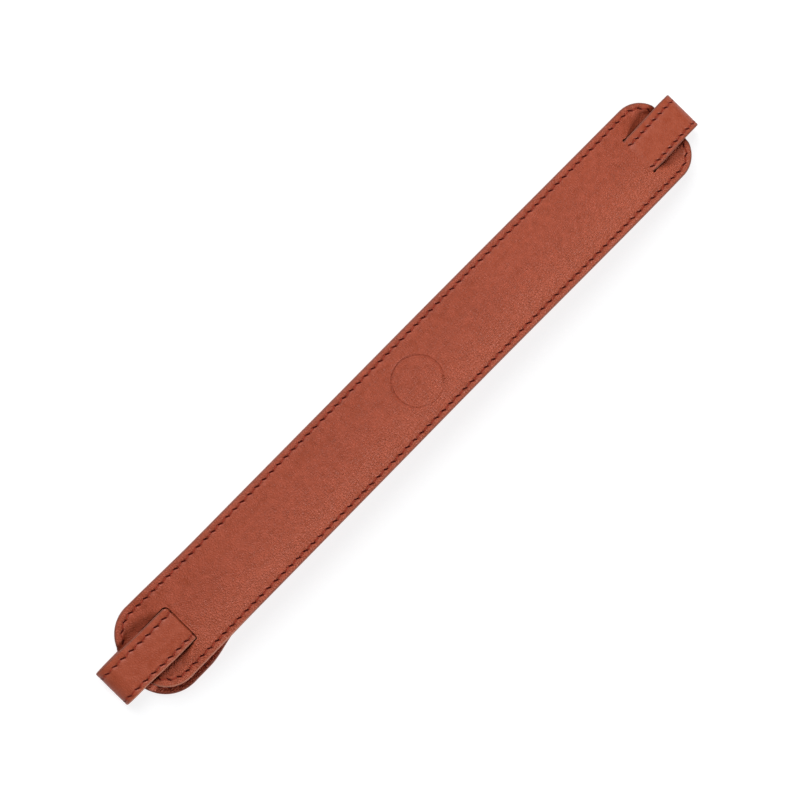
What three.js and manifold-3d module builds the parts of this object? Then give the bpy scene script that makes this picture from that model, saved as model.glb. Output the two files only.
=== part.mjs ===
// A leather wrist strap for a camera: two long padded sleeves, one above the other, joined by a narrow
// band that runs inside both, comes out of a slit near each end and folds round at the tips.
// It lies on a table as a flattened loop. Millimetres, +X along the strap, +Z up, and the origin is
// under the middle of the strap, on the table.
import * as THREE from "three";
import { mergeVertices } from "three/addons/utils/BufferGeometryUtils.js";
import Module from "manifold-3d";

const manifold = await Module();
manifold.setup();

// Leather and clearances
const ply = 1.1; // one leather wall of a sleeve
const rim = 2.2; // the two walls where they are stitched together, and the tongues at the ends
const bandThickness = 1.8;
const clearance = 0.3; // between any two pieces

// The strap's length, and where the band's parts lie along it
const strapLength = 250; // tip to tip
const leftSlit = -96;
const rightSlit = 102.6;
const bandWidth = 13.3;
const slitWidth = bandWidth + 2 * clearance;

// How the band behaves at each end: climb is the distance over which its outer face comes up out of
// the slit, turn is the depth of the fold at the tip
const bandEnds = {
  left: { climb: 0.8, turn: 3.6 },
  right: { climb: 3, turn: 3 },
};
const innerClimbStart = -1.6; // its inner face starts to climb before the slit, and climbs more gently
const innerClimb = 4;
const turnSteps = 12; // facets round a fold

// The two pads. corners are the radii of an end's corner on the -Y and the +Y side, and settle is the
// distance from a slit over which a pad sinks from sleeve to tongue. Beyond bend.start from the middle,
// and over bend.length, each edge gets wider by flare and that end moves to one side by sway.
const rightBend = { start: 10, length: 90 };
const frontPad = {
  side: 1,
  width: 27.75,
  trough: 0.35,
  left: {
    end: -116,
    corners: [10.5, 10.5],
    settle: 10,
    bend: { start: 75, length: 35 },
    flare: 0.45,
    sway: 0.15,
  },
  right: { end: 118.5, corners: [9.8, 9.4], settle: 8, bend: rightBend, flare: 0.2, sway: -0.4 },
};
const backPad = {
  side: -1,
  width: 27.5,
  trough: 0,
  left: {
    end: -118.2,
    corners: [12.7, 14.5],
    settle: 10,
    bend: { start: 83, length: 13 },
    flare: 1,
    sway: -1.3,
  },
  right: { end: 117.5, corners: [9.8, 9.4], settle: 8, bend: rightBend, flare: 0.2, sway: -0.4 },
};

// The arch of the upper pad and of the band inside it
const archRise = 7.5;
const archReach = 121;

// The pads' cross-section, across the strap
const troughStart = 5;
const troughEnd = 11.5;
const coreHalfWidth = 9; // the sleeve is at its full thickness this far from the middle line
const coreSlope = 2.2; // and tapers to the rim over this distance
const edgeRounding = 0.25;
const edgeRoundingWidth = 2.4;

// The tongues: the band presses them flat, and beside it the leather rises to the rim like a valley's
// slope. The slope is short at the slit and long at the tip, and the sewn rim stays up all round.
const tongue = {
  rise: 1.7, // how far the rim stands above the pressed middle
  pressedHalf: 6.5,
  slope: 4.5,
  slopeShares: [0.35, 1.5], // of that length, at the slit and at the tip
  slopeReach: 18, // how far from the slit the tip's share is reached
  rimWidth: 2.2,
  rimDrop: 1.2,
  rimFree: 2, // how far from the pressed middle the rim is up
  pressedSettle: 0.35, // share of a pad's settling distance that the leather takes beside the band
};
const sleeveEnd = 1; // past a slit, where the sleeve's inner face starts to draw in to the tongue
const sleeveFade = 6;

// The plain round stamp pressed into the upper pad
const stamp = { x: 4.1, y: -0.45, radius: 8, line: 0.65, depth: 0.25, sides: 48 };

// Levels, as distances outwards from the plane midway between the two pads
const tongueInner = clearance / 2;
const tongueOuter = tongueInner + rim;
const bandRunInner = tongueOuter + clearance;
const bandRunOuter = bandRunInner + bandThickness;
const sleeveOuter = bandRunOuter;
const bandHiddenOuter = sleeveOuter - ply - clearance;
const bandHiddenInner = bandHiddenOuter - bandThickness;
const sleeveInner = bandHiddenInner - clearance - ply;
const tongueFloor = tongueOuter - 0.05; // a tongue's middle, pressed a little thinner by the band
const midHeight = bandRunOuter; // the band's lower run lies on the table

function smooth(share) {
  const t = THREE.MathUtils.clamp(share, 0, 1);
  return t * t * (3 - 2 * t);
}

function mix(from, to, share) {
  return from + (to - from) * share;
}

function arch(x) {
  const share = Math.min(Math.abs(x) / archReach, 1);
  return archRise * Math.pow(1 - share ** 3, 1.5);
}

// The height of a level above the table, on the upper (side 1) or lower (side -1) half of the strap
function height(x, level, side) {
  return side > 0 ? midHeight + level + arch(x) : midHeight - level;
}

// How far x lies outside the nearer slit; negative inside the sleeve
function pastSlit(x) {
  return Math.max(leftSlit - x, x - rightSlit);
}

function bandOuter(x) {
  const end = x < 0 ? bandEnds.left : bandEnds.right;
  const climbed = smooth((pastSlit(x) - clearance) / end.climb);
  return mix(bandHiddenOuter, bandRunOuter, climbed);
}

function bandInner(x) {
  const climbed = smooth((pastSlit(x) - innerClimbStart) / innerClimb);
  return mix(bandHiddenInner, bandRunInner, climbed);
}

// Evenly spaced numbers from one value to another, without the last
function steps(from, to, count) {
  return Array.from({ length: count }, (_, i) => mix(from, to, i / count));
}

// Stations along the band: close together where it climbs out of a slit
const leftTurn = -strapLength / 2 + bandEnds.left.turn;
const rightTurn = strapLength / 2 - bandEnds.right.turn;
const climbs = { left: [leftSlit - 3, leftSlit + 2], right: [rightSlit - 2, rightSlit + 5] };
const bandStations = [
  ...steps(leftTurn, climbs.left[0], 3),
  ...steps(climbs.left[0], climbs.left[1], 12),
  ...steps(climbs.left[1], climbs.right[0], 20),
  ...steps(climbs.right[0], climbs.right[1], 12),
  ...steps(climbs.right[1], rightTurn, 2),
  rightTurn,
];

// One face of the band as a closed line in the XZ plane. inset is 0 for the outer face and the band's
// thickness for the inner one.
function bandLine(face, inset) {
  const points = [];
  const addTurn = (end, direction) => {
    const start = strapLength / 2 - end.turn;
    const low = height(direction * start, face(direction * start), -1);
    const high = height(direction * start, face(direction * start), 1);
    for (let i = 1; i < turnSteps; i += 1) {
      const angle = direction * Math.PI * (0.5 - i / turnSteps);
      const reach = (end.turn - inset) * Math.cos(angle);
      points.push(new THREE.Vector2(
        direction * (start + reach),
        (low + high) / 2 + ((high - low) / 2) * Math.sin(angle),
      ));
    }
  };
  bandStations.forEach((x) => points.push(new THREE.Vector2(x, height(x, face(x), 1))));
  addTurn(bandEnds.right, 1);
  bandStations.toReversed().forEach((x) => points.push(new THREE.Vector2(x, height(x, face(x), -1))));
  addTurn(bandEnds.left, -1);
  return points;
}

// A bar of four-cornered sections across the strap, between matching points of an outer and an inner
// line in the XZ plane. It is either a closed ring or capped at its two ends.
function loft(outer, inner, width, closed) {
  const half = width / 2;
  const positions = outer.flatMap((out, i) => [
    [out.x, half, out.y],
    [out.x, -half, out.y],
    [inner[i].x, -half, inner[i].y],
    [inner[i].x, half, inner[i].y],
  ]).flat();
  const triangles = [];
  const last = 4 * (outer.length - 1);
  for (let i = 0; i < outer.length - (closed ? 0 : 1); i += 1) {
    const here = 4 * i;
    const next = 4 * ((i + 1) % outer.length);
    for (let side = 0; side < 4; side += 1) {
      const other = (side + 1) % 4;
      triangles.push(here + side, here + other, next + other, here + side, next + other, next + side);
    }
  }
  if (!closed) {
    triangles.push(0, 3, 2, 0, 2, 1, last, last + 1, last + 2, last, last + 2, last + 3);
  }
  return toSolid(meshOf(positions, triangles));
}

function makeBand() {
  return toGeometry(loft(bandLine(bandOuter, 0), bandLine(bandInner, bandThickness), bandWidth, true));
}

// The space of the band in a pad, from one station to another, up to a ceiling level
function bandSpace(from, to, ceiling, side) {
  const between = bandStations.filter((x) => x > from && x < to);
  const stations = [from, ...between, to];
  const line = (level) => {
    const points = stations.map((x) => new THREE.Vector2(x, height(x, level(x), side)));
    return side > 0 ? points : points.toReversed();
  };
  return loft(line(() => ceiling), line((x) => bandInner(x) - clearance), slitWidth, false);
}

// The band's way through a pad: a tunnel between the slits, open outwards beyond them
function bandWay(side) {
  const reach = strapLength / 2;
  const farOut = 2 * sleeveOuter;
  const pastTheSlit = 1;
  const roof = bandHiddenOuter + clearance;
  return bandSpace(leftSlit - pastTheSlit, rightSlit + pastTheSlit, roof, side)
    .add(bandSpace(-reach, leftSlit, farOut, side))
    .add(bandSpace(rightSlit, reach, farOut, side));
}

// How far along the bend of a pad's end a station lies, and that end
function bendAt(pad, x) {
  const end = x < 0 ? pad.left : pad.right;
  return { end, share: smooth((Math.abs(x) - end.bend.start) / end.bend.length) };
}

// Half the pad's width at a station, before its corners are rounded
function fullHalfWidth(pad, x) {
  const { end, share } = bendAt(pad, x);
  return pad.width / 2 + end.flare * share;
}

function sway(pad, x) {
  const { end, share } = bendAt(pad, x);
  return end.sway * share;
}

// The radius of the corner nearest to a point: one end's, on the side that across lies on
function cornerAt(pad, x, across) {
  const [minusSide, plusSide] = bendAt(pad, x).end.corners;
  return across > 0 ? plusSide : minusSide;
}

// The distance from the pad's middle line to its outline, on the side that across lies on
function halfWidth(pad, x, across) {
  const corner = cornerAt(pad, x, across);
  const intoCorner = Math.max(corner - Math.abs(bendAt(pad, x).end.end - x), 0);
  return fullHalfWidth(pad, x) - corner + Math.sqrt(corner ** 2 - intoCorner ** 2);
}

// The distance from a point, given across from the pad's own middle line, to the pad's outline
function edgeDistance(pad, x, across) {
  const corner = cornerAt(pad, x, across);
  const toSide = fullHalfWidth(pad, x) - Math.abs(across);
  const toEnd = Math.abs(bendAt(pad, x).end.end - x);
  if (Math.max(toSide, toEnd) >= corner) {
    return Math.min(toSide, toEnd);
  }
  return corner - Math.hypot(corner - toSide, corner - toEnd);
}

function padOuter(pad, x, across) {
  const { end } = bendAt(pad, x);
  const edge = edgeDistance(pad, x, across);
  const trough = smooth((Math.abs(across) - troughStart) / (troughEnd - troughStart));
  const rounding = edgeRounding * smooth(1 - edge / edgeRoundingWidth);
  const sleeve = sleeveOuter + pad.trough * trough;
  const [atSlit, atTip] = tongue.slopeShares;
  const slope = tongue.slope * mix(atSlit, atTip, smooth(pastSlit(x) / tongue.slopeReach));
  const besideBand = Math.abs(across) - tongue.pressedHalf;
  const valley = smooth(besideBand / slope);
  const sewnRim = smooth(besideBand / tongue.rimFree) * (1 - smooth((edge - tongue.rimWidth) / tongue.rimDrop));
  const level = tongueFloor + tongue.rise * (1 - (1 - valley) * (1 - sewnRim));
  const settle = end.settle * mix(tongue.pressedSettle, 1, valley);
  return mix(sleeve, level, smooth(pastSlit(x) / settle)) - rounding;
}

function padInner(pad, x, across) {
  const core = 1 - smooth((Math.abs(across) - coreHalfWidth) / coreSlope);
  const sleeve = 1 - smooth((pastSlit(x) - sleeveEnd) / sleeveFade);
  const seam = Math.max(padOuter(pad, x, across) - rim, tongueInner);
  return mix(seam, sleeveInner, core * sleeve);
}

// Stations along a pad: round its corners, close together at the tongues, wider apart between the slits
function padStations(pad) {
  const cornerSteps = 6;
  const longest = (end) => Math.max(...end.corners);
  const corner = (end, direction) => Array.from({ length: cornerSteps }, (_, i) => {
    const angle = (i / cornerSteps) * (Math.PI / 2);
    return end.end + direction * longest(end) * (1 - Math.cos(angle));
  });
  const rightCorner = pad.right.end - longest(pad.right);
  return [
    ...corner(pad.left, 1),
    ...steps(pad.left.end + longest(pad.left), leftSlit + 4, 6),
    ...steps(leftSlit + 4, rightSlit - 4, 20),
    ...steps(rightSlit - 4, rightCorner, 5),
    rightCorner,
    ...corner(pad.right, -1).toReversed(),
  ];
}

// Rows across a pad, as shares of its half width
const rowShares = [0, 0.36, 0.5, 0.65, 0.81, 0.9, 1];
const padRows = [...rowShares.slice(1).toReversed().map((share) => -share), ...rowShares];

// A closed slab between a pad's outer and inner faces
function padSlab(pad) {
  const stations = padStations(pad);
  const positions = [];
  [padOuter, padInner].forEach((face) => stations.forEach((x) => padRows.forEach((share) => {
    const across = share * halfWidth(pad, x, share);
    positions.push(x, across + sway(pad, x), height(x, face(pad, x, across), pad.side));
  })));
  const rows = padRows.length;
  const inner = stations.length * rows;
  const triangles = [];
  const quad = (a, b, c, d) => {
    const corners = pad.side > 0 ? [a, b, c, a, c, d] : [a, c, b, a, d, c];
    triangles.push(...corners);
  };
  const wall = (a, b) => quad(a, b, b + inner, a + inner);
  for (let i = 0; i + 1 < stations.length; i += 1) {
    const here = i * rows;
    const next = here + rows;
    for (let j = 0; j + 1 < rows; j += 1) {
      quad(here + j, next + j, next + j + 1, here + j + 1);
      quad(inner + here + j, inner + here + j + 1, inner + next + j + 1, inner + next + j);
    }
    wall(next, here);
    wall(here + rows - 1, next + rows - 1);
  }
  for (let j = 0; j + 1 < rows; j += 1) {
    wall(j, j + 1);
    wall(inner - rows + j + 1, inner - rows + j);
  }
  return toSolid(meshOf(positions, triangles));
}

function stampGroove() {
  const inner = stamp.radius - stamp.line / 2;
  const outer = stamp.radius + stamp.line / 2;
  const top = 1;
  const section = [[inner, 0], [outer, 0], [outer, top], [inner, top], [inner, 0]];
  const ring = new THREE.LatheGeometry(section.map(([r, z]) => new THREE.Vector2(r, z)), stamp.sides);
  ring.rotateX(Math.PI / 2);
  ring.translate(stamp.x, stamp.y, height(stamp.x, sleeveOuter, 1) - stamp.depth);
  return toSolid(ring);
}

function makePad(pad) {
  const sleeve = padSlab(pad).subtract(bandWay(pad.side));
  return toGeometry(pad.side > 0 ? sleeve.subtract(stampGroove()) : sleeve);
}

function meshOf(positions, triangles) {
  const geometry = new THREE.BufferGeometry();
  geometry.setAttribute("position", new THREE.Float32BufferAttribute(positions, 3));
  geometry.setIndex(triangles);
  return geometry;
}

function toSolid(geometry) {
  geometry.deleteAttribute("normal");
  geometry.deleteAttribute("uv");
  const merged = mergeVertices(geometry, 1e-4);
  return new manifold.Manifold(new manifold.Mesh({
    numProp: 3,
    vertProperties: Float32Array.from(merged.attributes.position.array),
    triVerts: Uint32Array.from(merged.index.array),
  }));
}

function toGeometry(solid) {
  const mesh = solid.getMesh();
  const geometry = meshOf(mesh.vertProperties, Array.from(mesh.triVerts));
  geometry.computeVertexNormals();
  return geometry;
}

const padLeather = new THREE.MeshStandardMaterial({ color: 0xa55441, roughness: 0.55, metalness: 0 });
const bandLeather = new THREE.MeshStandardMaterial({ color: 0xa35339, roughness: 0.5, metalness: 0 });

function addPiece(group, name, geometry, material) {
  const mesh = new THREE.Mesh(geometry, material);
  mesh.name = name;
  group.add(mesh);
}

const strap = new THREE.Group();
addPiece(strap, "front_pad", makePad(frontPad), padLeather.clone());
addPiece(strap, "back_pad", makePad(backPad), padLeather.clone());
addPiece(strap, "loop_band", makeBand(), bandLeather);

export default strap;
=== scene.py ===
import math
import bmesh
import bpy
from mathutils import Matrix, Vector, noise


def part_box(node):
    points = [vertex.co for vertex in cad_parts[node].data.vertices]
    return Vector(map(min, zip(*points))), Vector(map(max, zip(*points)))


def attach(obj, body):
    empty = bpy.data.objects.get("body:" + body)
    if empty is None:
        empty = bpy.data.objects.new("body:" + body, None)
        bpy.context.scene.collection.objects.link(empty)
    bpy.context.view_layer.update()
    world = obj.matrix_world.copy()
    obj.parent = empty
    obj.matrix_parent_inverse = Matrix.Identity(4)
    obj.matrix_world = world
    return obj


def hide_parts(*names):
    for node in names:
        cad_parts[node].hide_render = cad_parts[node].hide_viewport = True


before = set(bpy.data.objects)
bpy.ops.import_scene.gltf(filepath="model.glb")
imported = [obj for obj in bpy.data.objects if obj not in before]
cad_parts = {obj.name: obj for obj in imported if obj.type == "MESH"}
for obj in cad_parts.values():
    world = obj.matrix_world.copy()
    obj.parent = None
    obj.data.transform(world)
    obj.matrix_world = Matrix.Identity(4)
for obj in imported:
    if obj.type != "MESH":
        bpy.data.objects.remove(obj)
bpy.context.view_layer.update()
padBoxes = {name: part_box(name) for name in ("front_pad", "back_pad")}
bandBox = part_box("loop_band")
mm = 0.001
print("frame loaded")

# The strap as the part's source has it. Levels are distances out from the plane midway between the pads.
strap = {
    "leftSlit": -96 * mm,
    "rightSlit": 102.6 * mm,
    "archRise": 7.5 * mm,
    "archReach": 121 * mm,
    "gap": 0.3 * mm,
    "ply": 1.1 * mm,
    "rim": 2.2 * mm,  # the two walls together, where they are stitched
    "bandThickness": 1.8 * mm,
    "pressedIn": 0.05 * mm,  # how far the band presses the tongues in
}
tongueInner = strap["gap"] / 2
tongueOuter = tongueInner + strap["rim"]
bandRunInner = tongueOuter + strap["gap"]
bandRunOuter = bandRunInner + strap["bandThickness"]
sleeveOuter = bandRunOuter
bandHiddenOuter = sleeveOuter - strap["ply"] - strap["gap"]
bandHiddenInner = bandHiddenOuter - strap["bandThickness"]
sleeveInner = bandHiddenInner - strap["gap"] - strap["ply"]
tongueFloor = tongueOuter - strap["pressedIn"]
midHeight = bandRunOuter  # the band's lower run lies on the table
bandHalf = bandBox[1].y  # half the band's width
tipX = bandBox[1].x

# The pricking iron leaves slanted slots, and the thread crosses from slot to slot the other way.
stitch = {
    "pitch": 3.1 * mm,
    "slotLength": 1.6 * mm,
    "slotWidth": 0.5 * mm,
    "slotSlant": math.radians(24),
    "slotDepth": 0.45 * mm,
    "slotFade": 0.14 * mm,
    "linkLength": 2 * mm,
    "linkWidth": 0.42 * mm,
    "linkFlatness": 0.85,  # a thread's height for its width
    "linkSlant": math.radians(-14),
    "linkRise": 0.05 * mm,  # how far a thread's middle stands over the channel's bed
    "channelDepth": 0.13 * mm,
    "channelWidth": 0.8 * mm,
    "pucker": 0.035 * mm,
    "puckerWidth": 1.76 * mm,
    "pressed": 0.15 * mm,  # how much deeper the thread lies where the strap rests on it
}
# Painted shade where the stitching is: dark in its slots, for the shadow in the holes, and half a stitch
# on, faintly along each thread, for the shadow it lies in.
stitchShades = (
    {"shift": 0, "slant": stitch["slotSlant"], "length": stitch["slotLength"], "width": stitch["slotWidth"],
     "fade": 0.1 * mm, "dark": 1},
    {"shift": 0.5, "slant": stitch["linkSlant"], "length": stitch["linkLength"], "width": 0.8 * mm,
     "fade": 0.14 * mm, "dark": 0.15},
)
noSeam = 9  # the seam UV map's second value where no seam is near; elsewhere it is mm off the seam
cornerTurns = (0, math.pi / 6, math.pi / 3, math.pi / 2)  # points round a rounded edge
weld = 0.002 * mm  # points closer than this become one


def smooth(share):
    t = min(max(share, 0), 1)
    return t * t * (3 - 2 * t)


def mix(first, last, share):
    return first + (last - first) * share


def steps(first, last, size):  # even steps of about this size, without the last point
    count = max(1, round(abs(last - first) / size))
    return [mix(first, last, i / count) for i in range(count)]


def arch(x):
    share = min(abs(x) / strap["archReach"], 1)
    return strap["archRise"] * (1 - share ** 3) ** 1.5


def lift(x, level, side):  # the height of a level above the table, in the upper or lower half of the strap
    return midHeight + level + arch(x) if side > 0 else midHeight - level


def pastSlit(x):
    return max(strap["leftSlit"] - x, x - strap["rightSlit"])


def barMask(a, b, slant, length, width, fade):  # 1 inside a slanted bar, 0 well outside it
    along = abs(a * math.cos(slant) + b * math.sin(slant))
    across = abs(b * math.cos(slant) - a * math.sin(slant))
    inLength = smooth((length / 2 + fade - along) / (2 * fade))
    inWidth = smooth((width / 2 + fade - across) / (2 * fade))
    return inLength * inWidth


def seamRelief(u, b, strength=1):  # how far stitching lowers the leather, u in stitches and b off the seam
    holeAlong = (u % 1 - 0.5) * stitch["pitch"]
    bar = (stitch["slotSlant"], stitch["slotLength"], stitch["slotWidth"], stitch["slotFade"])
    slot = stitch["slotDepth"] * barMask(holeAlong, b, *bar)
    channel = stitch["channelDepth"] * math.exp(-((b / stitch["channelWidth"]) ** 2))
    ripple = stitch["pucker"] * math.cos(2 * math.pi * u) * math.exp(-((b / stitch["puckerWidth"]) ** 2))
    return strength * (slot + channel - ripple)


def edgeOff(share):  # the seam UV map's second value on a cut edge, from 20 at the outer face to 21
    return 20 + share


def gridMesh(bm, columns, rows, place):  # a grid whose points go where place says, with its UV map kept
    made = bmesh.ops.create_grid(bm, x_segments=columns, y_segments=rows, size=0.5, calc_uvs=True)
    for vert in made["verts"]:
        vert.co = place(round((vert.co.x + 0.5) * columns), round((vert.co.y + 0.5) * rows))


def newObject(name, bm, materials):
    mesh = bpy.data.meshes.new(name)
    bm.to_mesh(mesh)
    bm.free()
    for material in materials:
        mesh.materials.append(material)
    piece = bpy.data.objects.new(name, mesh)
    bpy.context.scene.collection.objects.link(piece)
    return piece


def shadeSmooth(piece, sharpAngle):
    piece.data.shade_smooth()
    piece.data.set_sharp_from_angle(angle=math.radians(sharpAngle))


def srgb(code):  # a hex colour as linear values
    channels = [int(code[i:i + 2], 16) / 255 for i in (1, 3, 5)]
    linear = [c / 12.92 if c <= 0.04045 else ((c + 0.055) / 1.055) ** 2.4 for c in channels]
    return (*linear, 1)


def newMaterial(name):
    material = bpy.data.materials.new(name)
    material.use_nodes = True
    return material, material.node_tree, material.node_tree.nodes["Principled BSDF"]


def addNode(tree, kind, values):  # each value is an option, an input's value or the socket that feeds it
    node = tree.nodes.new(kind)
    for key, value in values.items():
        if isinstance(value, bpy.types.NodeSocket):
            tree.links.new(value, node.inputs[key])
        elif isinstance(key, int) or key in node.inputs:
            node.inputs[key].default_value = value
        else:
            setattr(node, key, value)
    return node


def addMath(tree, operation, *terms):
    return addNode(tree, "ShaderNodeMath", {"operation": operation, **dict(enumerate(terms))}).outputs[0]


def addNoise(tree, place, size, detail, roughness=0.5):
    return addNode(tree, "ShaderNodeTexNoise", {
        "Vector": place, "Scale": 1 / size, "Detail": detail, "Roughness": roughness})


def addRamp(tree, value, first, last, low=0, high=1):  # goes smoothly from low at first to high at last
    return addNode(tree, "ShaderNodeMapRange", {
        "interpolation_type": "SMOOTHSTEP", "Value": value,
        "From Min": first, "From Max": last, "To Min": low, "To Max": high}).outputs[0]


def addBlend(tree, share, first, last):  # between two colours
    return addNode(tree, "ShaderNodeMix", {"data_type": "RGBA", 0: share, 6: first, 7: last}).outputs[2]


def addBump(tree, shader, height, distance, strength=1):
    bump = addNode(tree, "ShaderNodeBump", {"Strength": strength, "Height": height, "Distance": distance})
    tree.links.new(bump.outputs[0], shader.inputs["Normal"])


def barNodes(tree, a, b, slant, length, width, fade):  # barMask in nodes
    point = addNode(tree, "ShaderNodeCombineXYZ", {"X": a, "Y": b})
    turned = addNode(tree, "ShaderNodeVectorRotate", {
        "rotation_type": "Z_AXIS", "Angle": -slant, "Vector": point.outputs[0]})
    sides = addNode(tree, "ShaderNodeVectorMath", {"operation": "ABSOLUTE", 0: turned.outputs[0]})
    parts = addNode(tree, "ShaderNodeSeparateXYZ", {0: sides.outputs[0]})
    inLength = addRamp(tree, parts.outputs["X"], length / 2 + fade, length / 2 - fade)
    inWidth = addRamp(tree, parts.outputs["Y"], width / 2 + fade, width / 2 - fade)
    return addMath(tree, "MULTIPLY", inLength, inWidth)


def seamPlace(tree):  # how far along a seam in stitches, and how far off it in mm
    seam = addNode(tree, "ShaderNodeUVMap", {"uv_map": "seam"})
    return addNode(tree, "ShaderNodeSeparateXYZ", {0: seam.outputs[0]}).outputs


def seamShade(tree):  # 1 in the stitching's slots and less along each thread, where painted shade stands for their shadows
    place = seamPlace(tree)
    pitch = stitch["pitch"] / mm
    masks = []
    for shade in stitchShades:
        within = addMath(tree, "FRACT", addMath(tree, "ADD", place["X"], shade["shift"]))
        along = addMath(tree, "MULTIPLY_ADD", within, pitch, -pitch / 2)
        length, width, fade = (shade[key] / mm for key in ("length", "width", "fade"))
        bar = barNodes(tree, along, place["Y"], shade["slant"], length, width, fade)
        masks.append(addMath(tree, "MULTIPLY", bar, shade["dark"]))
    return addMath(tree, "MAXIMUM", *masks)


# Vegetable-tanned cowhide, dyed through and lightly waxed: matt and warm, with a fine soft pebble grain
# that catches the light in small specks, and cloudy shifts of colour over a few centimetres.
padHide = {
    "name": "vegTannedCowhide",
    "deep": "#89381D",
    "pale": "#B35339",
    # Painted sheen: the pale tint laid on towards the -Y side.
    "sheenTint": "#D07050",
    # Painted shade: the colour of the slots, for the shadow in their holes.
    "slot": "#560A03",
    "clouds": 26 * mm,
    "mottle": 2.2 * mm,
    "pebble": 0.82 * mm,
    "pebbleSlope": 0.32,  # in pebbles, from the valley to the flat top
    "warp": 0.5,  # in pebbles, how far the mottle pushes them
    "pore": 0.42 * mm,  # coarser than real pores, so that they show
    "tone": {"base": -0.3, "mottle": 1.1, "clouds": 0.35, "pebbles": 0.15},  # how far each one pales it
    "relief": {"mottle": 1.2, "pores": 0.5},  # against the pebbles' 1
    "pebbleHeight": 0.075 * mm,
    "coarser": (6 * mm, -12 * mm),  # from here to here across, its height doubles
    "sheened": 0.13,  # share of the pale tint painted towards the -Y side, a painted sheen
    "sheenAcross": (3 * mm, -9 * mm),
    "roughness": (0.46, 0.64),
}
# The same hide, glazed smoother where it is a strap.
bandHide = {
    **padHide,
    "name": "glazedCowhideStrap",
    "deep": "#943D22",
    "pale": "#AF553B",
    "pebbleHeight": 0.03 * mm,
    "sheened": 0.03,
    "roughness": (0.4, 0.54),
}


def cowhide(hide):
    material, tree, shader = newMaterial(hide["name"])
    place = addNode(tree, "ShaderNodeTexCoord", {}).outputs["Object"]
    across = addNode(tree, "ShaderNodeSeparateXYZ", {0: place}).outputs["Y"]
    clouds = addNoise(tree, place, hide["clouds"], detail=2).outputs["Fac"]
    mottling = addNoise(tree, place, hide["mottle"], detail=4, roughness=0.6)
    mottle = mottling.outputs["Fac"]
    pores = addNoise(tree, place, hide["pore"], detail=3, roughness=0.55).outputs["Fac"]
    warp = addNode(tree, "ShaderNodeVectorMath", {
        "operation": "SCALE", "Scale": hide["warp"] * hide["pebble"], 0: mottling.outputs["Color"]})
    warped = addNode(tree, "ShaderNodeVectorMath", {"operation": "ADD", 0: place, 1: warp.outputs[0]})
    pebbles = addNode(tree, "ShaderNodeTexVoronoi", {
        "feature": "DISTANCE_TO_EDGE", "Scale": 1 / hide["pebble"], "Vector": warped.outputs[0]})
    domes = addRamp(tree, pebbles.outputs[0], 0, hide["pebbleSlope"])

    tone = addMath(tree, "MULTIPLY_ADD", mottle, hide["tone"]["mottle"], hide["tone"]["base"])
    tone = addMath(tree, "MULTIPLY_ADD", clouds, hide["tone"]["clouds"], tone)
    tone = addMath(tree, "MULTIPLY_ADD", domes, hide["tone"]["pebbles"], tone)
    dyed = addBlend(tree, tone, srgb(hide["deep"]), srgb(hide["pale"]))
    # Painted sheen: towards the -Y side the hide is tinted paler and pinker, as where its gloss catches the
    # light.
    sheening = addRamp(tree, across, *hide["sheenAcross"], high=hide["sheened"])
    sheened = addBlend(tree, sheening, dyed, srgb(hide["sheenTint"]))
    # Painted shade in the slots and along the threads, blended towards the slot colour.
    shade = seamShade(tree)
    tree.links.new(addBlend(tree, shade, sheened, srgb(hide["slot"])), shader.inputs["Base Color"])

    low, high = hide["roughness"]
    rough = addNode(tree, "ShaderNodeMapRange", {
        "Value": mottle, "From Min": 0.3, "From Max": 0.7, "To Min": low, "To Max": high})
    dulled = addNode(tree, "ShaderNodeMix", {0: shade, 2: rough.outputs[0], 3: 1})
    tree.links.new(dulled.outputs[0], shader.inputs["Roughness"])
    shader.inputs["IOR"].default_value = 1.48
    shader.inputs["Specular IOR Level"].default_value = 0.38
    grain = addMath(tree, "MULTIPLY_ADD", pores, hide["relief"]["pores"], domes)
    grain = addMath(tree, "MULTIPLY_ADD", mottle, hide["relief"]["mottle"], grain)
    height = addRamp(tree, across, *hide["coarser"], hide["pebbleHeight"], 2 * hide["pebbleHeight"])
    addBump(tree, shader, grain, height)
    return material


# Cut edge of the hide, painted and burnished: a thin dull brown line, paler at its outer corner and palest
# of all at the left end's -Y side, partly real wear and partly a painted highlight where the corner catches
# the light.
cutEdge = {
    "deep": "#6A3325",
    "pale": "#824535",
    "sheenTint": "#B0705A",
    "blotch": 3 * mm,
    "fibre": 0.5 * mm,
    "fibreHeight": 0.02 * mm,
    "wearAndSheen": (0.1, 0.75),  # least and most
    "wearAndSheenAlong": (-74 * mm, -90 * mm),  # from here to here, and across, it grows
    "wearAndSheenAcross": (2 * mm, -5 * mm),
    "wearAndSheenCorner": (0.16, 0.05),  # shares of the edge's thickness
}


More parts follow.
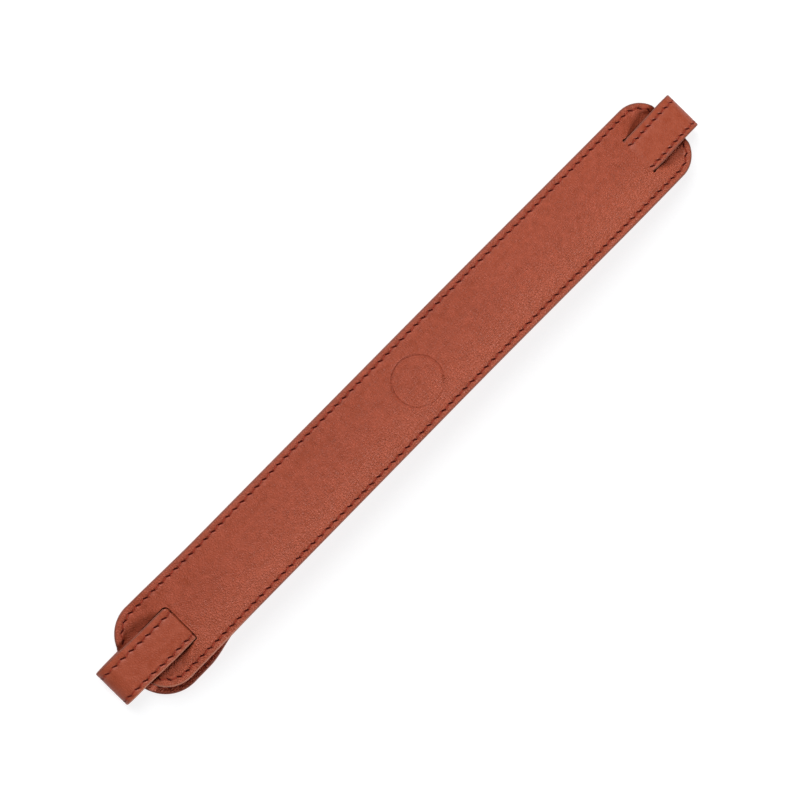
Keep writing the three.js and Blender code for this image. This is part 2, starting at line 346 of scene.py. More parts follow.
def burnishedEdge():
    material, tree, shader = newMaterial("burnishedEdgePaint")
    place = addNode(tree, "ShaderNodeTexCoord", {}).outputs["Object"]
    blotch = addNoise(tree, place, cutEdge["blotch"], detail=4).outputs["Fac"]
    paint = addBlend(tree, blotch, srgb(cutEdge["deep"]), srgb(cutEdge["pale"]))
    sides = addNode(tree, "ShaderNodeSeparateXYZ", {0: place}).outputs
    # Partly wear, partly painted highlight: the edge's outer corner paler, most of all at the left end's -Y
    # side.
    least, most = cutEdge["wearAndSheen"]
    leftEnd = addRamp(tree, sides["X"], *cutEdge["wearAndSheenAlong"], least, most)
    wearAndSheenShare = addRamp(tree, sides["Y"], *cutEdge["wearAndSheenAcross"], least, leftEnd)
    first, last = (edgeOff(share) for share in cutEdge["wearAndSheenCorner"])
    corner = addRamp(tree, seamPlace(tree)["Y"], first, last, high=wearAndSheenShare)
    tree.links.new(addBlend(tree, corner, paint, srgb(cutEdge["sheenTint"])), shader.inputs["Base Color"])
    shader.inputs["Roughness"].default_value = 0.58
    shader.inputs["Specular IOR Level"].default_value = 0.22
    fibre = addNoise(tree, place, cutEdge["fibre"], detail=3).outputs["Fac"]
    addBump(tree, shader, fibre, cutEdge["fibreHeight"])
    return material


# Waxed polyester thread: a dull reddish brown, with the fine lines of its strands.
def waxedThread():
    material, tree, shader = newMaterial("waxedPolyesterThread")
    lie = addNode(tree, "ShaderNodeUVMap", {"uv_map": "seam"})
    waves = addNode(tree, "ShaderNodeTexWave", {"Scale": 1, "Distortion": 0.4, "Vector": lie.outputs[0]})
    strands = waves.outputs["Fac"]
    dyed = addBlend(tree, strands, srgb("#822A18"), srgb("#A03E2A"))
    tree.links.new(dyed, shader.inputs["Base Color"])
    shader.inputs["Roughness"].default_value = 0.7
    shader.inputs["Specular IOR Level"].default_value = 0.15
    addBump(tree, shader, strands, distance=0.04 * mm, strength=0.6)
    return material


padLeather = cowhide(padHide)
bandLeather = cowhide(bandHide)
edgePaint = burnishedEdge()
threadWax = waxedThread()
print("materials ready")

# The band: one closed strip. Its outer face comes up out of a slit at each end and folds round at the tips.
band = {
    "leftTurn": 5.6 * mm,  # depth of the fold at each tip
    "rightTurn": 4.6 * mm,
    "foldSteps": 30,
    "fine": 0.4 * mm,  # between sections on top, then underneath, then inside the pads
    "coarse": 0.8 * mm,
    "hidden": 6.6 * mm,
    "early": 1 * mm,  # how far inside the slits the sections get close
    "climb": 7 * mm,  # and where the band climbs out of the right one
    "innerStep": 1.1 * mm,  # across the inner and the outer face
    "outerStep": 0.34 * mm,
    "edgeRadius": 0.45 * mm,
    "edgeLine": ((0.02 * mm, 0.58), (0.12 * mm, 0.5), (0.02 * mm, 0.42)),  # depth, share of the thickness
    "rows": (4.3 * mm, -5.1 * mm),  # the two lines of stitches, not quite centred
    "leftPitch": 3.4 * mm,
    "rightPitch": 2.8 * mm,
    "leftPhase": -0.4,  # in stitches, at the slit
    "rightPhase": 0.15,
    "foldRelief": 0.4,  # how deep the stitching is round the folds, against 1 elsewhere
    "cornerRadii": (0.6 * mm, 1.3 * mm),  # of the left slit's corners, on the -Y and the +Y side
    "leftRise": (0.1 * mm, 0.4 * mm),  # starts this far past the slit, and takes this long
    "rightRise": 5 * mm,  # before the slit
    "innerRise": (-1.6 * mm, 4 * mm),
    "valley": 0.3 * mm,  # how far the right end still lies under the surface at the slit
    "valleyLength": 1.8 * mm,
    "crown": (0.1 * mm, 3 * mm),  # how far the middle bulges, and how far off the stitches it is up
    "crownEnd": (14 * mm, 3 * mm),  # how far past the slit it sinks, and over what length
    "fall": (98 * mm, 103 * mm, 0.127),  # left and right, from here the upper run falls at this slope
    "lowerShift": (0.35 * mm, 18 * mm),  # of the lower run to one side, growing so far past the left slit
    "leftShift": (-0.45 * mm, 8 * mm, 23.4 * mm),  # of the upper run to one side, and how far from the slit
    "rightShift": (-0.38 * mm, 4 * mm, 17.8 * mm),  # that stays and is gone
}


def cornered(past, toEdge, radius):  # distance inside an outline with a rounded corner
    if past < radius and toEdge < radius:
        return radius - math.hypot(radius - past, radius - toEdge)
    return past


def bandOuter(x, y, side):
    past = pastSlit(x)
    if x < 0:
        if side > 0:
            past = cornered(past, bandHalf - abs(y), band["cornerRadii"][1 if y > 0 else 0])
        start, length = band["leftRise"]
        return mix(bandHiddenOuter, bandRunOuter, smooth((past - start) / length))
    rise = band["rightRise"]
    atSlit = mix(bandHiddenOuter, bandRunOuter - band["valley"], smooth((past + rise) / rise))
    return atSlit + band["valley"] * smooth(past / band["valleyLength"])


def bandInner(x):
    start, length = band["innerRise"]
    return mix(bandHiddenInner, bandRunInner, smooth((pastSlit(x) - start) / length))


def runShift(x, side):  # sideways place of the band's upper or lower run
    if side < 0:
        shift, length = band["lowerShift"]
        return shift * smooth((strap["leftSlit"] - x) / length)
    shift, stays, gone = band["leftShift" if x < 0 else "rightShift"]
    return shift * (1 - smooth((abs(pastSlit(x)) - stays) / (gone - stays)))


def straightFall(x):  # how far the free upper run lies below the arch's curve
    left, right, slope = band["fall"]
    start = left if x < 0 else right
    return max(0, arch(x) - arch(start) + slope * (abs(x) - start)) if abs(x) > start else 0


def bandStations():  # (x, side, angle of the fold) where sections lie, from the middle of the upper run
    rightTurn = tipX - band["rightTurn"]
    leftTurn = -tipX + band["leftTurn"]
    rightStart = strap["rightSlit"] - band["early"]
    leftStart = strap["leftSlit"] + band["early"]
    rightClimb = strap["rightSlit"] - band["climb"]
    count = band["foldSteps"]
    angles = [math.pi * (0.5 - i / count) for i in range(1, count)]

    def run(side, *legs):  # a leg is (first place, last place, spacing)
        return [(x, side, None) for leg in legs for x in steps(*leg)]

    route = run(1, (0, rightClimb, band["hidden"]), (rightClimb, rightTurn, band["fine"]))
    route += [(rightTurn, 1, None)]
    route += [(rightTurn, 0, angle) for angle in angles]
    route += run(-1, (rightTurn, rightStart, band["coarse"]), (rightStart, leftStart, band["hidden"]),
                 (leftStart, leftTurn, band["coarse"]))
    route += [(leftTurn, -1, None)]
    route += [(leftTurn, 0, -angle) for angle in angles]
    route += run(1, (leftTurn, leftStart, band["fine"]), (leftStart, 0, band["hidden"]))
    return route


def bandPoints(station, y):  # the outer and inner points of the band's section at a place across it
    x, side, angle = station
    if angle is None:
        across = y + runShift(x, side)
        fall = straightFall(x) if side > 0 else 0
        outer = Vector((x, across, lift(x, bandOuter(x, y, side), side) - fall))
        inner = Vector((x, across, lift(x, bandInner(x), side) - fall))
        return outer, inner
    direction = 1 if x > 0 else -1
    turn = band["rightTurn" if x > 0 else "leftTurn"]
    across = y + mix(runShift(x, -1), runShift(x, 1), (1 + math.sin(angle)) / 2)
    points = []
    for inset, level in ((0, bandRunOuter), (strap["bandThickness"], bandRunInner)):
        low, high = lift(x, level, -1), lift(x, level, 1) - straightFall(x)
        reach = (turn - inset) * math.cos(angle)
        high -= band["fall"][2] * reach * max(0, math.sin(angle))
        height = (low + high) / 2 + (high - low) / 2 * math.sin(angle)
        points.append(Vector((x + direction * reach, across, height)))
    return points


def bandSection():  # across places and shares of the thickness, round the band's section
    radius, thickness = band["edgeRadius"], strap["bandThickness"]
    face = bandHalf - radius
    corner = [(face + radius * math.sin(a), radius / thickness * (1 - math.cos(a))) for a in cornerTurns]
    rightHalf = [(y, 1) for y in steps(0, face, band["innerStep"])]
    rightHalf += [(y, 1 - share) for y, share in corner]
    rightHalf += [(bandHalf - depth, share) for depth, share in band["edgeLine"]]
    rightHalf += reversed(corner)
    outerFace = [(y, 0) for y in steps(face, -face, band["outerStep"])[1:]]
    leftHalf = [(-y, share) for y, share in reversed(rightHalf)]
    return rightHalf + outerFace + leftHalf


def makeBand():
    route = bandStations()
    section = bandSection()
    rows = band["rows"]
    middles = [bandPoints(station, 0)[0] for station in route]
    lengths = [0]
    for here, there in zip(middles, middles[1:]):
        lengths.append(lengths[-1] + (there - here).length)
    atRight = min(s for s, station in zip(lengths, route) if station[0] >= strap["rightSlit"])
    atLeft = max(s for s, station in zip(lengths, route) if station[0] <= strap["leftSlit"])

    def stitchesAt(i):
        if route[i][0] > 0:
            return (lengths[i] - atRight) / band["rightPitch"] + band["rightPhase"]
        return (lengths[i] - atLeft) / band["leftPitch"] + band["leftPhase"]

    def stitched(i):
        return pastSlit(route[i][0]) > 0

    def offRow(y, above):
        return (rows[0] if above else rows[1]) - y

    def place(i, j):
        i, j = i % len(route), j % len(section)
        y, share = section[j]
        outer, inner = bandPoints(route[i], y)
        point = outer.lerp(inner, share)
        if share == 0:
            x, side, angle = route[i]
            height, width = band["crown"]
            start, length = band["crownEnd"]
            free = 1 - smooth((pastSlit(x) - start) / length) if side > 0 else 0
            bulge = height * free * smooth((rows[0] - abs(y)) / width)
            if stitched(i):
                strength = 1 if angle is None else band["foldRelief"]
                bulge -= seamRelief(stitchesAt(i), offRow(y, y > 0), strength)
            if side < 0:
                bulge = min(bulge, 0)
            point += (outer - inner).normalized() * bulge
        return point

    bm = bmesh.new()
    seam = bm.loops.layers.uv.new("seam")
    columns, places = len(route), len(section)
    gridMesh(bm, columns, places, place)
    for face in bm.faces:
        indices = [round(loop[seam].uv.y * places) for loop in face.loops]
        shares = [section[j % places][1] for j in indices]
        above = sum(section[j % places][0] for j in indices) > 0
        face.material_index = 1 if 0 < sum(shares) < len(shares) else 0
        for loop, j in zip(face.loops, indices):
            i = round(loop[seam].uv.x * columns) % columns
            y, share = section[j % places]
            plain = share > 0 or not stitched(i)
            off = edgeOff(share) if face.material_index else noSeam if plain else offRow(y, above) / mm
            loop[seam].uv = (stitchesAt(i), off)
    bmesh.ops.remove_doubles(bm, verts=bm.verts, dist=weld)
    bmesh.ops.recalc_face_normals(bm, faces=bm.faces)
    piece = newObject("loop_band_leather", bm, [bandLeather, edgePaint])
    shadeSmooth(piece, 60)

    holders = []
    for i in range(len(route) - 1):
        if not stitched(i):
            continue
        first, last = stitchesAt(i), stitchesAt(i + 1)
        if math.floor(first) == math.floor(last) or last - first > 1:
            continue
        share = (math.floor(last) - first) / (last - first)
        for row in rows:
            here, hereIn = bandPoints(route[i], row)
            there, thereIn = bandPoints(route[i + 1], row)
            point = here.lerp(there, share)
            out = ((here - hereIn) + (there - thereIn)).normalized()
            deeper = 1 if route[i][1] < 0 else 2  # more so round the fold
            pressed = deeper * stitch["pressed"] * max(0, -out.z)
            holders.append((point - out * pressed, (there - here).normalized(), out))
    return piece, holders


# The pads: two plies sewn together round the edge, a sleeve for the band between the slits, and tongues
# under it at the ends. An end's corners are the radii on its -Y and its +Y side, and it settles flat over a
# length past the slit. Beyond its bend each edge gets wider by flare and the end moves to one side by sway.
# The upper pad's right end lies a little further out than the part's.
rightEnd = {
    "corners": (9.8 * mm, 9.4 * mm), "settle": 8 * mm,
    "bend": (10 * mm, 90 * mm), "flare": 0.2 * mm, "sway": -0.4 * mm,
}
frontPad = {
    "name": "front_pad",
    "side": 1,
    "width": 27.75 * mm,
    "trough": 0.65 * mm,
    "left": {
        "end": padBoxes["front_pad"][0].x, "corners": (10.5 * mm, 11.3 * mm), "settle": 10 * mm,
        "bend": (75 * mm, 35 * mm), "flare": 0.45 * mm, "sway": 0.15 * mm,
    },
    "right": {**rightEnd, "end": padBoxes["front_pad"][1].x + 0.35 * mm},
}
backPad = {
    "name": "back_pad",
    "side": -1,
    "width": 27.5 * mm,
    "trough": 0,
    "left": {
        "end": padBoxes["back_pad"][0].x, "corners": (12.2 * mm, 14.5 * mm), "settle": 10 * mm,
        "bend": (84.5 * mm, 15 * mm), "flare": 1 * mm, "sway": -1.3 * mm,
    },
    "right": {**rightEnd, "end": padBoxes["back_pad"][1].x},
}
padShape = {
    "trough": (5 * mm, 11.5 * mm),  # from here to here across, the outer face rises beside the hollow
    "core": (9 * mm, 2.2 * mm),  # half width of the sleeve's inner wall, and width of its slope beyond
    "rounding": (0.25 * mm, 2.4 * mm),  # how far the outer face falls to the edge, and over what width
    "pressed": 6.5 * mm,  # half width of a tongue's middle, pressed flat by the band
    # How far the rim stands above it, and how soon past the slit it is flat, on the -Y and the +Y side.
    "leftTongue": (1.4 * mm, 0.35, 1.25),
    "rightTongue": (1.15 * mm, 0.8, 0.8),
    "valley": (4.5 * mm, 0.35, 1.5, 18 * mm),  # slope beside the band, its shares at slit and tip, reach
    "sewnRim": (2.2 * mm, 1.2 * mm, 2 * mm),  # width, length of its drop, and how far off the band it is up
    "sleeveFade": (1 * mm, 6 * mm),  # where past the slit the sleeve starts to close, over what length
    "seamInset": (  # (share of the way to the right end, how far in), as a hand sews
        ((0, 2.3 * mm), (0.15, 2 * mm), (0.36, 1.8 * mm), (0.56, 1.8 * mm), (0.7, 2.16 * mm),
         (0.88, 2.14 * mm), (1, 1.9 * mm)),  # along the -Y side
        ((0, 2.3 * mm), (0.26, 2.2 * mm), (0.36, 2.06 * mm), (0.66, 2.06 * mm), (0.79, 2.24 * mm),
         (0.88, 2.2 * mm), (1, 1.9 * mm)),  # along the +Y side
    ),
    "stitchesClear": 1.2 * mm,  # past a slit, the outer seam stops this far beside the band
    "nextPoint": 0.3 * mm,  # how far off a seam a second point gives the face's slope
    "perStitch": 8,  # columns of the mesh for each stitch
    "outlineStep": 0.1 * mm,
    "edgeRadius": 0.5 * mm,
    "plySeam": (0.1 * mm, 0.15 * mm),  # depth and half width of the line between the plies at the edge
    "ringsReach": 4 * mm,  # rings follow the outline this far in, then close on the middle line
    "outerRings": (0.24 * mm, 10),  # how far apart they are, and how many close on the line
    "innerRings": (0.34 * mm, 7),
    "spineInset": 13 * mm,  # how far from the ends the middle line stops
    "leftLip": (0.24 * mm, 0.9 * mm),  # how far the leather rolls down at the slit, and over what length
    "rightLip": (0.17 * mm, 1.7 * mm),
    "lipEnds": (1.4 * mm, 1 * mm, 0.05 * mm),  # beside the band, over what width, and past the slit
    "waves": {"height": 0.05 * mm, "long": 17 * mm, "padsApart": 0.1},
    # Creases lie beside the band, past the slits, deep at the left end's -Y side. Reach and start have
    # their fades, and slice picks a layer of the noise.
    "creases": {
        "deep": 0.32 * mm, "shallow": 0.1 * mm, "slant": 0.35, "long": 4.5 * mm, "apart": 1.1 * mm,
        "clear": 0.8 * mm, "reach": (5.5 * mm, 3 * mm), "start": (1.5 * mm, 3 * mm),
        "narrow": 2.2, "sharp": 4, "slice": 3.3,
    },
}
# The cut for the band through a pad. Over and under the band it leaves the strap's gap.
way = {
    "beside": 0.2 * mm,
    "skived": 0.05 * mm,  # over the band at the right slit's thinned lip
    "start": 1 * mm,  # past the left slit
    "climb": 8 * mm,  # before the right slit, where the roof rises with the band
    "spacing": {"hidden": 5 * mm, "climb": 0.5 * mm, "open": 2 * mm, "notch": 0.14 * mm},
    "cornerTurn": math.pi / 24,
    "pastTip": 1 * mm,
    "notch": 0.5 * mm,
    "notchDepth": 0.2 * mm,
}
stamp = {
    "x": 4.1 * mm,
    "y": -0.45 * mm,
    "radius": 8 * mm,
    "line": 0.65 * mm,
    "depth": 0.25 * mm,
    "wall": (0.7, 0.4),  # where its side starts and how wide that is, in half widths of the line
    "shoulder": (0.04 * mm, 1.8, 0.5),  # height, place and width of the swelling beside it
    "reach": 3,  # further off, nothing moves
    "faint": (0.65, 0.6, 0.25),  # how much shallower at the -Y side, and where round the ring that starts
    "finer": (1.3 * mm, 5),  # how near the ring the mesh is cut finer, and how often
}


def bendAt(pad, x):
    end = pad["left" if x < 0 else "right"]
    start, length = end["bend"]
    return end, smooth((abs(x) - start) / length)


def fullHalfWidth(pad, x):
    end, share = bendAt(pad, x)
    return pad["width"] / 2 + end["flare"] * share


def sway(pad, x):
    end, share = bendAt(pad, x)
    return end["sway"] * share


def cornerOf(end, across):
    return end["corners"][1 if across > 0 else 0]


def edgeDistance(pad, x, across):
    end, _ = bendAt(pad, x)
    corner = cornerOf(end, across)
    toSide = fullHalfWidth(pad, x) - abs(across)
    toEnd = abs(end["end"] - x)
    if max(toSide, toEnd) >= corner:
        return min(toSide, toEnd)
    return corner - math.hypot(corner - toSide, corner - toEnd)


def padOuter(pad, x, across):
    end, _ = bendAt(pad, x)
    edge = edgeDistance(pad, x, across)
    start, stop = padShape["trough"]
    depth, width = padShape["rounding"]
    sleeve = sleeveOuter + pad["trough"] * smooth((abs(across) - start) / (stop - start))
    rimRise, *pressedSettles = padShape["leftTongue" if x < 0 else "rightTongue"]
    pressedSettle = pressedSettles[1 if across > 0 else 0]
    slope, atSlit, atTip, reach = padShape["valley"]
    rimWidth, rimDrop, rimFree = padShape["sewnRim"]
    besideBand = abs(across - runShift(x, pad["side"])) - padShape["pressed"]
    valley = smooth(besideBand / (slope * mix(atSlit, atTip, smooth(pastSlit(x) / reach))))
    rim = smooth(besideBand / rimFree) * (1 - smooth((edge - rimWidth) / rimDrop))
    tongue = tongueFloor + rimRise * (1 - (1 - valley) * (1 - rim))
    settle = end["settle"] * mix(pressedSettle, 1, valley)
    return mix(sleeve, tongue, smooth(pastSlit(x) / settle)) - depth * smooth(1 - edge / width)


def padInner(pad, x, across):
    half, slope = padShape["core"]
    start, fade = padShape["sleeveFade"]
    core = 1 - smooth((abs(across) - half) / slope)
    sleeve = 1 - smooth((pastSlit(x) - start) / fade)
    return mix(max(padOuter(pad, x, across) - strap["rim"], tongueInner), sleeveInner, core * sleeve)


def handRelief(pad, x, across):  # how far lips, waves and creases move the outer face
    past = pastSlit(x)
    offBand = abs(across - runShift(x, pad["side"])) - bandHalf
    outmost, width, last = padShape["lipEnds"]
    depth, length = padShape["leftLip" if x < 0 else "rightLip"]
    lip = depth * smooth((outmost - offBand) / width) * smooth(1 + past / length) if past < last else 0
    waves = padShape["waves"]
    spot = Vector((x, across, pad["side"] * waves["padsApart"])) / waves["long"]
    wave = waves["height"] * noise.noise(spot)
    if pad["side"] < 0:
        wave = min(wave, 0)  # nothing stands out of the face that lies on the table
    fold = padShape["creases"]
    reach, fade = fold["reach"]
    start, growth = fold["start"]
    share = smooth(offBand / fold["clear"]) * smooth((reach - offBand) / fade)
    share *= smooth((past - start) / growth)
    along, off = x + fold["slant"] * across, across - fold["slant"] * x
    value = noise.noise(Vector((along / fold["long"], off / fold["apart"], fold["slice"])))
    ridge = 1 - min(1, fold["narrow"] * abs(value))
    depth = fold["deep"] if x < 0 and across < 0 else fold["shallow"]
    return wave - lip - depth * share * ridge ** fold["sharp"]


def halfOutline(pad, half):  # close points along one side, left to right, with their inward normals
    size = padShape["outlineStep"]
    points = []
    for key, direction in (("left", -1), ("right", 1)):
        end = pad[key]
        corner = cornerOf(end, half)
        tall = fullHalfWidth(pad, end["end"])
        inward = Vector((-direction, 0))
        stretch = [(Vector((end["end"], y)), inward) for y in steps(0, tall - corner, size)]
        for angle in steps(0, math.pi / 2, size / corner):
            away = Vector((direction * math.cos(angle), math.sin(angle)))
            centre = Vector((end["end"] - direction * corner, tall - corner))
            stretch.append((centre + corner * away, -away))
        if key == "left":
            points += stretch
            first = end["end"] + corner
            last = pad["right"]["end"] - cornerOf(pad["right"], half)
            for x in steps(first, last, size):
                slope = (fullHalfWidth(pad, x + mm) - fullHalfWidth(pad, x - mm)) / (2 * mm)
                points.append((Vector((x, fullHalfWidth(pad, x))), Vector((slope, -1)).normalized()))
        else:
            points += reversed(stretch)
    flip = Vector((1, half))
    return [(point * flip, normal * flip) for point, normal in points]


def seamInset(pad, point):  # how far in from this point of the outline the seam lies
    share = (point.x - pad["left"]["end"]) / (pad["right"]["end"] - pad["left"]["end"])
    knots = padShape["seamInset"][1 if point.y > 0 else 0]
    for (start, before), (stop, after) in zip(knots, knots[1:]):
        if share < stop:
            return mix(before, after, smooth((share - start) / (stop - start)))
    return knots[-1][1]


def evenStations(pad, half, count):  # outline points and normals, evenly spaced along one side's seam
    outline = halfOutline(pad, half)
    seamLine = [point + normal * seamInset(pad, point) for point, normal in outline]
    lengths = [0]
    for here, there in zip(seamLine, seamLine[1:]):
        lengths.append(lengths[-1] + (there - here).length)
    found = []
    j = 0
    for i in range(count + 1):
        wanted = lengths[-1] * i / count
        while j + 2 < len(lengths) and lengths[j + 1] < wanted:
            j += 1
        share = (wanted - lengths[j]) / (lengths[j + 1] - lengths[j])
        point = outline[j][0].lerp(outline[j + 1][0], share)
        normal = outline[j][1].lerp(outline[j + 1][1], share).normalized()
        found.append((point, normal))
    found[0][0].y = found[-1][0].y = 0
    return found


def padStations(pad):  # (outline point, inward normal, place on the middle line) all the way round
    reach = pad["right"]["end"] - pad["left"]["end"] + pad["width"] / 2
    count = round(reach / stitch["pitch"]) * padShape["perStitch"]
    plusSide, minusSide = (evenStations(pad, half, count) for half in (1, -1))
    low = pad["left"]["end"] + padShape["spineInset"]
    high = pad["right"]["end"] - padShape["spineInset"]
    middles = [min(max((a[0].x + b[0].x) / 2, low), high) for a, b in zip(plusSide, minusSide)]
    there, back = ([(*station, middle) for station, middle in zip(side, middles)]
                   for side in (plusSide, minusSide))
    return there + back[-2::-1]


def padRings():  # (face, inset, drop, share of the way to the middle line), from outside to inside
    radius, reach, rim = padShape["edgeRadius"], padShape["ringsReach"], strap["rim"]
    outerStep, outerCount = padShape["outerRings"]
    innerStep, innerCount = padShape["innerRings"]
    seamDepth, seamHalf = padShape["plySeam"]
    corner = [(radius * (1 - math.sin(a)), radius * (1 - math.cos(a))) for a in cornerTurns]
    rings = [("outer", reach, 0, i / outerCount) for i in range(outerCount, 0, -1)]
    rings += [("outer", inset, 0, 0) for inset in steps(reach, radius, outerStep)]
    rings += [("edge", inset, drop, 0) for inset, drop in corner]
    for inset, off in ((0, -seamHalf), (seamDepth, 0), (0, seamHalf)):
        rings.append(("edge", inset, rim / 2 + off, 0))
    rings += [("edge", inset, rim - drop, 0) for inset, drop in reversed(corner)]
    rings += [("inner", inset, 0, 0) for inset in steps(radius, reach, innerStep)[1:]]
    rings += [("inner", reach, 0, i / innerCount) for i in range(innerCount + 1)]
    return rings


def padPoint(pad, station, ring, u):  # a point of the pad, u in stitches, or None for a plain surface
    point, normal, middle = station
    face, inset, drop, share = ring
    flat = (point + normal * inset).lerp(Vector((middle, 0)), share)
    x, across = flat
    sewn = seamRelief(u, inset - seamInset(pad, point)) if u is not None and share == 0 else 0
    if pad["side"] < 0 and face == "outer":
        sewn = max(sewn, 0)
    if face == "inner":
        level = padInner(pad, x, across) + sewn
    else:
        level = padOuter(pad, x, across) + handRelief(pad, x, across) - drop
        level -= sewn if face == "outer" else 0
    return Vector((x, across + sway(pad, x), lift(x, level, pad["side"])))


def waySection(x, side, halfLow, halfHigh, low, high):  # four corners of the band's way through a pad
    shift = runShift(x, side)
    corners = ((halfHigh, high), (-halfLow, high), (-halfLow, low), (halfHigh, low))
    return [Vector((x, y + shift, lift(x, level, side))) for y, level in corners]


def cutWay(piece, sections):  # takes the space between four-cornered sections out of a piece
    bm = bmesh.new()
    gridMesh(bm, len(sections) - 1, 4, lambda i, j: sections[i][j % 4])
    bmesh.ops.remove_doubles(bm, verts=bm.verts, dist=weld / 4)
    bmesh.ops.holes_fill(bm, edges=bm.edges, sides=4)
    bmesh.ops.triangulate(bm, faces=bm.faces)
    bmesh.ops.recalc_face_normals(bm, faces=bm.faces)
    for face in bm.faces:
        face.material_index = 1
    cutter = newObject("way", bm, [padLeather, edgePaint])
    cut = piece.modifiers.new("way", "BOOLEAN")
    cut.operation = "DIFFERENCE"
    cut.solver = "MANIFOLD"
    cut.object = cutter
    view = bpy.context.evaluated_depsgraph_get()
    done = bpy.data.meshes.new_from_object(piece.evaluated_get(view))
    piece.modifiers.clear()
    piece.data = done
    bpy.data.objects.remove(cutter)


def cutBandWay(piece, pad):
    side = pad["side"]
    half = bandHalf + way["beside"]
    leftSlit, rightSlit = strap["leftSlit"], strap["rightSlit"]
    climb = rightSlit - way["climb"]
    pastTip = tipX + way["pastTip"]
    notch = way["notch"]
    spacing = way["spacing"]

    def section(x, halfLow, halfHigh, high=2 * sleeveOuter):  # open to the outside unless high says less
        return waySection(x, side, halfLow, halfHigh, bandInner(x) - strap["gap"], high)

    def roof(x):
        plain = bandHiddenOuter + strap["gap"]
        return plain if x < 0 else max(plain, bandOuter(x, 0, side) + way["skived"])

    def atCorner(x, radius):  # half the way's width, which is rounded off at the left slit
        into = max(0, radius - (leftSlit - x))
        return half - (radius - math.sqrt(max(radius ** 2 - into ** 2, 0))) if side > 0 else half

    def atNotch(x):  # half the way's width, with a notch at each end of the right slit
        into = (x - rightSlit - notch) / notch
        return half + way["notchDepth"] * math.sqrt(max(1 - into ** 2, 0))

    inside = steps(leftSlit - way["start"], climb, spacing["hidden"])
    inside += steps(climb, rightSlit, spacing["climb"]) + [rightSlit]
    cutWay(piece, [section(x, half, half, roof(x)) for x in inside])
    radii = [radius + way["beside"] for radius in band["cornerRadii"]]
    widest = max(radii)
    left = [leftSlit - widest * (1 - math.cos(a)) for a in steps(0, math.pi / 2, way["cornerTurn"])]
    left += steps(leftSlit - widest, -pastTip, spacing["open"]) + [-pastTip]
    cutWay(piece, [section(x, *(atCorner(x, radius) for radius in radii)) for x in left])
    right = steps(rightSlit, rightSlit + 2 * notch, spacing["notch"])
    right += steps(rightSlit + 2 * notch, pastTip, spacing["open"]) + [pastTip]
    cutWay(piece, [section(x, atNotch(x), atNotch(x)) for x in right])


def pressStamp(bm, pad):  # a plain ring in the outer face, whose mesh is made finer for it
    def offRing(point):
        return math.hypot(point.x - stamp["x"], point.y - stamp["y"]) - stamp["radius"]

    lowest = lift(stamp["x"], sleeveOuter - strap["ply"], pad["side"])
    reach, cuts = stamp["finer"]
    near = [face for face in bm.faces if abs(offRing(face.calc_center_median())) < reach
            and face.calc_center_median().z > lowest]
    edges = list(dict.fromkeys(edge for face in near for edge in face.edges))
    bmesh.ops.subdivide_edges(bm, edges=edges, cuts=cuts, use_grid_fill=True)
    foot, slope = stamp["wall"]
    height, middle, width = stamp["shoulder"]
    loss, start, length = stamp["faint"]
    for vert in bm.verts:
        off = abs(offRing(vert.co)) / (stamp["line"] / 2)
        if off < stamp["reach"] and vert.co.z > lowest:
            wall = 1 - smooth((off - foot) / slope)
            shoulder = height * math.exp(-((off - middle) / width) ** 2)
            firm = 1 - loss * smooth(((stamp["y"] - vert.co.y) / stamp["radius"] - start) / length)
            vert.co.z += firm * (shoulder - stamp["depth"] * wall)


def makePad(pad):
    stations = padStations(pad)
    rings = padRings()
    columns, rows = len(stations) - 1, len(rings) - 1
    perStitch = padShape["perStitch"]
    bm = bmesh.new()
    seam = bm.loops.layers.uv.new("seam")
    gridMesh(bm, columns, rows, lambda i, j: padPoint(pad, stations[i], rings[j], i / perStitch))
    for face in bm.faces:
        indices = [round(loop[seam].uv.y * rows) for loop in face.loops]
        face.material_index = 1 if all(rings[j][0] == "edge" for j in indices) else 0
        for loop, j in zip(face.loops, indices):
            i = round(loop[seam].uv.x * columns)
            _, inset, drop, share = rings[j]
            if face.material_index:
                off = edgeOff(drop / strap["rim"])
            else:
                off = noSeam if share > 0 else (inset - seamInset(pad, stations[i][0])) / mm
            loop[seam].uv = (i / perStitch, off)
    bmesh.ops.remove_doubles(bm, verts=bm.verts, dist=weld)
    if pad["side"] > 0:
        pressStamp(bm, pad)
    bmesh.ops.recalc_face_normals(bm, faces=bm.faces)
    piece = newObject(pad["name"] + "_leather", bm, [padLeather, edgePaint])
    cutBandWay(piece, pad)
    shadeSmooth(piece, 50)

    holders = []
    for i in range(perStitch, columns + 1, perStitch):
        station = stations[i]
        inset = seamInset(pad, station[0])
        x, across = station[0] + station[1] * inset
        hidden = pastSlit(x) > 0 and abs(across) < bandHalf + padShape["stitchesClear"]
        for face in ("outer", "inner"):
            if face == "outer" and hidden:
                continue
            here = padPoint(pad, station, (face, inset, 0, 0), None)
            before = padPoint(pad, stations[i - 1], (face, inset, 0, 0), None)
            further = padPoint(pad, station, (face, inset + padShape["nextPoint"], 0, 0), None)
            out = (here - before).cross(further - here).normalized()
            if (out.z > 0) != ((face == "outer") == (pad["side"] > 0)):
                out = -out
            pressed = stitch["pressed"] if face == "outer" and pad["side"] < 0 else 0
            holders.append((here - out * pressed, (here - before).normalized(), out))
    return piece, holders


